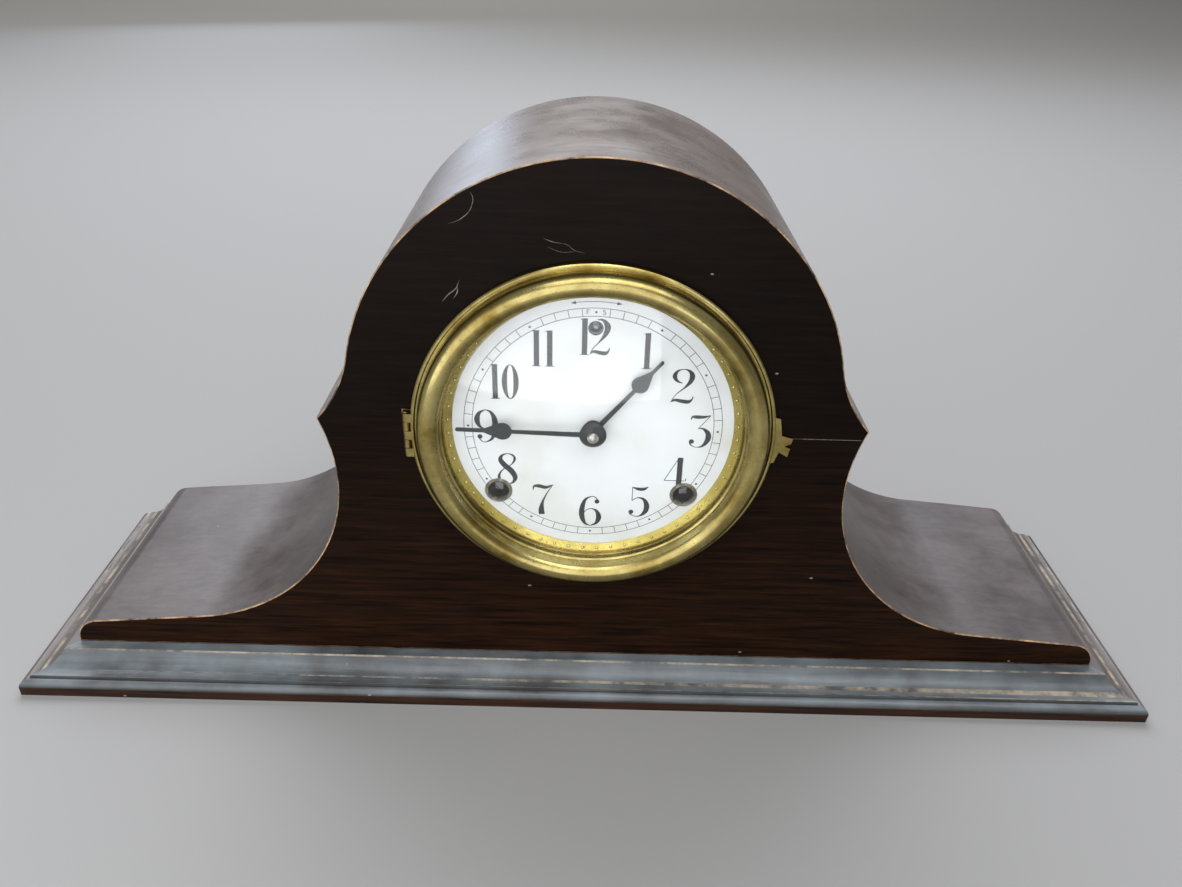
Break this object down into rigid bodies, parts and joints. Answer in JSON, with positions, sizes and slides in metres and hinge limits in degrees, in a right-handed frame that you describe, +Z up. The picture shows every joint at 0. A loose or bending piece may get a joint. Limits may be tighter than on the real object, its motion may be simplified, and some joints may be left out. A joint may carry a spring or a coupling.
{
  "type": "mantel clock",
  "caption": "Tambour mantel clock with swept wooden case, hinged brass bezel, white dial and a spring-driven time and strike movement.",
  "frame": {"origin": "centre of the base's underside, on the table", "axes": "+X to the right seen from the front, -Y out of the dial, +Z up"},
  "size_m": [0.5332, 0.14, 0.2522],
  "materials": {
    "dark_wood": "black-brown stain under worn shellac, satin",
    "raw_wood": "unpolished inside and back wood, dull",
    "brass": "aged spun brass, soft polish with olive tarnish",
    "movement_brass": "rolled clock brass, dull",
    "steel": "turned steel, lightly oiled",
    "hand_steel": "blackened steel, low sheen",
    "dial_enamel": "white stoved enamel, satin",
    "dark_bronze": "darkened bronze grommet",
    "glass": "clear domed glass",
    "iron": "japanned cast iron"
  },
  "bodies": {
    "case": {"base_board": "dark_wood", "base_moulding_front": "dark_wood", "base_moulding_left": "dark_wood", "base_moulding_right": "dark_wood", "front_board_upper": "dark_wood", "front_board_lower": "dark_wood", "back_board": "raw_wood", "arch_skin": "dark_wood", "left_flank_skin": "dark_wood", "right_flank_skin": "dark_wood", "left_wing_skin": "dark_wood", "right_wing_skin": "dark_wood", "corner_blocks": "raw_wood", "base_screws": "steel", "door_hinge_case_leaves": "brass", "bezel_hinge_leaf": "brass", "bezel_hinge_pin": "brass", "bezel_catch": "brass", "reflector_ring": "brass", "dial_plate": "dial_enamel", "winding_hole_ferrules": "dark_bronze", "front_plate": "movement_brass", "back_plate": "movement_brass", "plate_pillars": "steel", "pillar_nuts": "movement_brass", "movement_feet": "steel", "time_mainspring": "steel", "strike_mainspring": "steel", "suspension_post": "movement_brass", "gong_coil": "steel", "gong_stand": "iron"},
    "bezel": {"bezel_ring": "brass", "bezel_glass": "glass", "glass_retainer": "brass", "bezel_latch_tab": "brass"},
    "door": {"back_door": "raw_wood", "door_hinge_door_leaves": "brass"},
    "button": {"door_turn_button": "brass"},
    "minute_work": {"minute_hand": "hand_steel", "hand_nut": "steel", "cannon_pinion": "steel", "centre_arbor": "steel", "centre_wheel": "movement_brass"},
    "hour_work": {"hour_hand": "hand_steel", "hour_wheel": "movement_brass"},
    "motion_wheel": {"minute_wheel": "movement_brass"},
    "time_great": {"time_great_wheel": "movement_brass"},
    "time_arbor": {"time_winding_arbor": "steel"},
    "time_second": {"second_wheel": "movement_brass"},
    "time_third": {"third_wheel": "movement_brass"},
    "time_escape": {"escape_wheel": "movement_brass"},
    "verge_arm": {"verge": "steel"},
    "pendulum": {"pendulum_rod": "steel", "pendulum_bob": "movement_brass"},
    "regulator": {"regulator_arbor": "steel"},
    "strike_great": {"strike_great_wheel": "movement_brass"},
    "strike_arbor": {"strike_winding_arbor": "steel"},
    "strike_second": {"strike_second_wheel": "movement_brass"},
    "strike_fan": {"strike_fly": "steel"},
    "hammer": {"strike_hammer": "steel"}
  },
  "joints": [
    {"name": "minute_hand_turn", "type": "hinge", "parent": "case", "child": "minute_work", "pos_m": [0, -0.0085, 0.1373], "axis": [0, 1, 0], "continuous": true},
    {"name": "hour_hand_turn", "type": "hinge", "parent": "case", "child": "hour_work", "pos_m": [0, -0.0085, 0.1373], "axis": [0, 1, 0], "continuous": true},
    {"name": "minute_wheel_turn", "type": "hinge", "parent": "case", "child": "motion_wheel", "pos_m": [-0.00933, -0.0085, 0.12797], "axis": [0, 1, 0], "continuous": true},
    {"name": "second_wheel_turn", "type": "hinge", "parent": "case", "child": "time_second", "pos_m": [0.02108, -0.0085, 0.12997], "axis": [0, 1, 0], "continuous": true},
    {"name": "time_great_turn", "type": "hinge", "parent": "case", "child": "time_great", "pos_m": [0.0407, -0.0085, 0.1051], "axis": [0, 1, 0], "continuous": true},
    {"name": "third_wheel_turn", "type": "hinge", "parent": "case", "child": "time_third", "pos_m": [0.00983, -0.0085, 0.15636], "axis": [0, 1, 0], "continuous": true},
    {"name": "escape_wheel_turn", "type": "hinge", "parent": "case", "child": "time_escape", "pos_m": [0, -0.0085, 0.1732], "axis": [0, 1, 0], "continuous": true},
    {"name": "time_winding", "type": "hinge", "parent": "time_great", "child": "time_arbor", "pos_m": [0.0407, -0.0085, 0.1051], "axis": [0, 1, 0], "range_deg": [-4410, 0]},
    {"name": "strike_great_turn", "type": "hinge", "parent": "case", "child": "strike_great", "pos_m": [-0.0407, -0.0085, 0.1051], "axis": [0, 1, 0], "continuous": true},
    {"name": "strike_second_turn", "type": "hinge", "parent": "case", "child": "strike_second", "pos_m": [-0.02108, -0.0085, 0.12997], "axis": [0, 1, 0], "continuous": true},
    {"name": "strike_fly_turn", "type": "hinge", "parent": "case", "child": "strike_fan", "pos_m": [-0.02616, -0.0085, 0.14657], "axis": [0, 1, 0], "continuous": true},
    {"name": "strike_winding", "type": "hinge", "parent": "strike_great", "child": "strike_arbor", "pos_m": [-0.0407, -0.0085, 0.1051], "axis": [0, 1, 0], "range_deg": [-4410, 0]},
    {"name": "pendulum_swing", "type": "hinge", "parent": "case", "child": "pendulum", "pos_m": [0, -0.0085, 0.1882], "axis": [0, 1, 0], "range_deg": [-5, 5]},
    {"name": "verge_swing", "type": "hinge", "parent": "case", "child": "verge_arm", "pos_m": [0, -0.0085, 0.1882], "axis": [0, 1, 0], "range_deg": [-5, 5]},
    {"name": "hammer_lift", "type": "hinge", "parent": "case", "child": "hammer", "pos_m": [-0.046, -0.0085, 0.0973], "axis": [0, 1, 0], "range_deg": [0, 14]},
    {"name": "regulator_turn", "type": "hinge", "parent": "case", "child": "regulator", "pos_m": [0, -0.0085, 0.1833], "axis": [0, 1, 0], "range_deg": [-1080, 1080]},
    {"name": "bezel_hinge", "type": "hinge", "parent": "case", "child": "bezel", "pos_m": [-0.0776, -0.0504, 0.1373], "axis": [0, 0, -1], "range_deg": [0, 110]},
    {"name": "back_door_hinge", "type": "hinge", "parent": "case", "child": "door", "pos_m": [-0.075, 0.0662, 0.1], "axis": [0, 0, 1], "range_deg": [0, 110]},
    {"name": "door_button_turn", "type": "hinge", "parent": "case", "child": "button", "pos_m": [0.081, 0.0655, 0.1], "axis": [0, 1, 0], "range_deg": [0, 90]}
  ],
  "couplings": [
    {"joint": "hour_hand_turn", "follows": "minute_hand_turn", "ratio": 0.083333},
    {"joint": "minute_wheel_turn", "follows": "minute_hand_turn", "ratio": -0.33333},
    {"joint": "second_wheel_turn", "follows": "minute_hand_turn", "ratio": -0.5},
    {"joint": "time_great_turn", "follows": "minute_hand_turn", "ratio": 0.071429},
    {"joint": "third_wheel_turn", "follows": "minute_hand_turn", "ratio": -12},
    {"joint": "escape_wheel_turn", "follows": "minute_hand_turn", "ratio": 144},
    {"joint": "strike_second_turn", "follows": "strike_great_turn", "ratio": -7},
    {"joint": "strike_fly_turn", "follows": "strike_great_turn", "ratio": 42},
    {"joint": "verge_swing", "follows": "pendulum_swing", "ratio": 1}
  ]
}
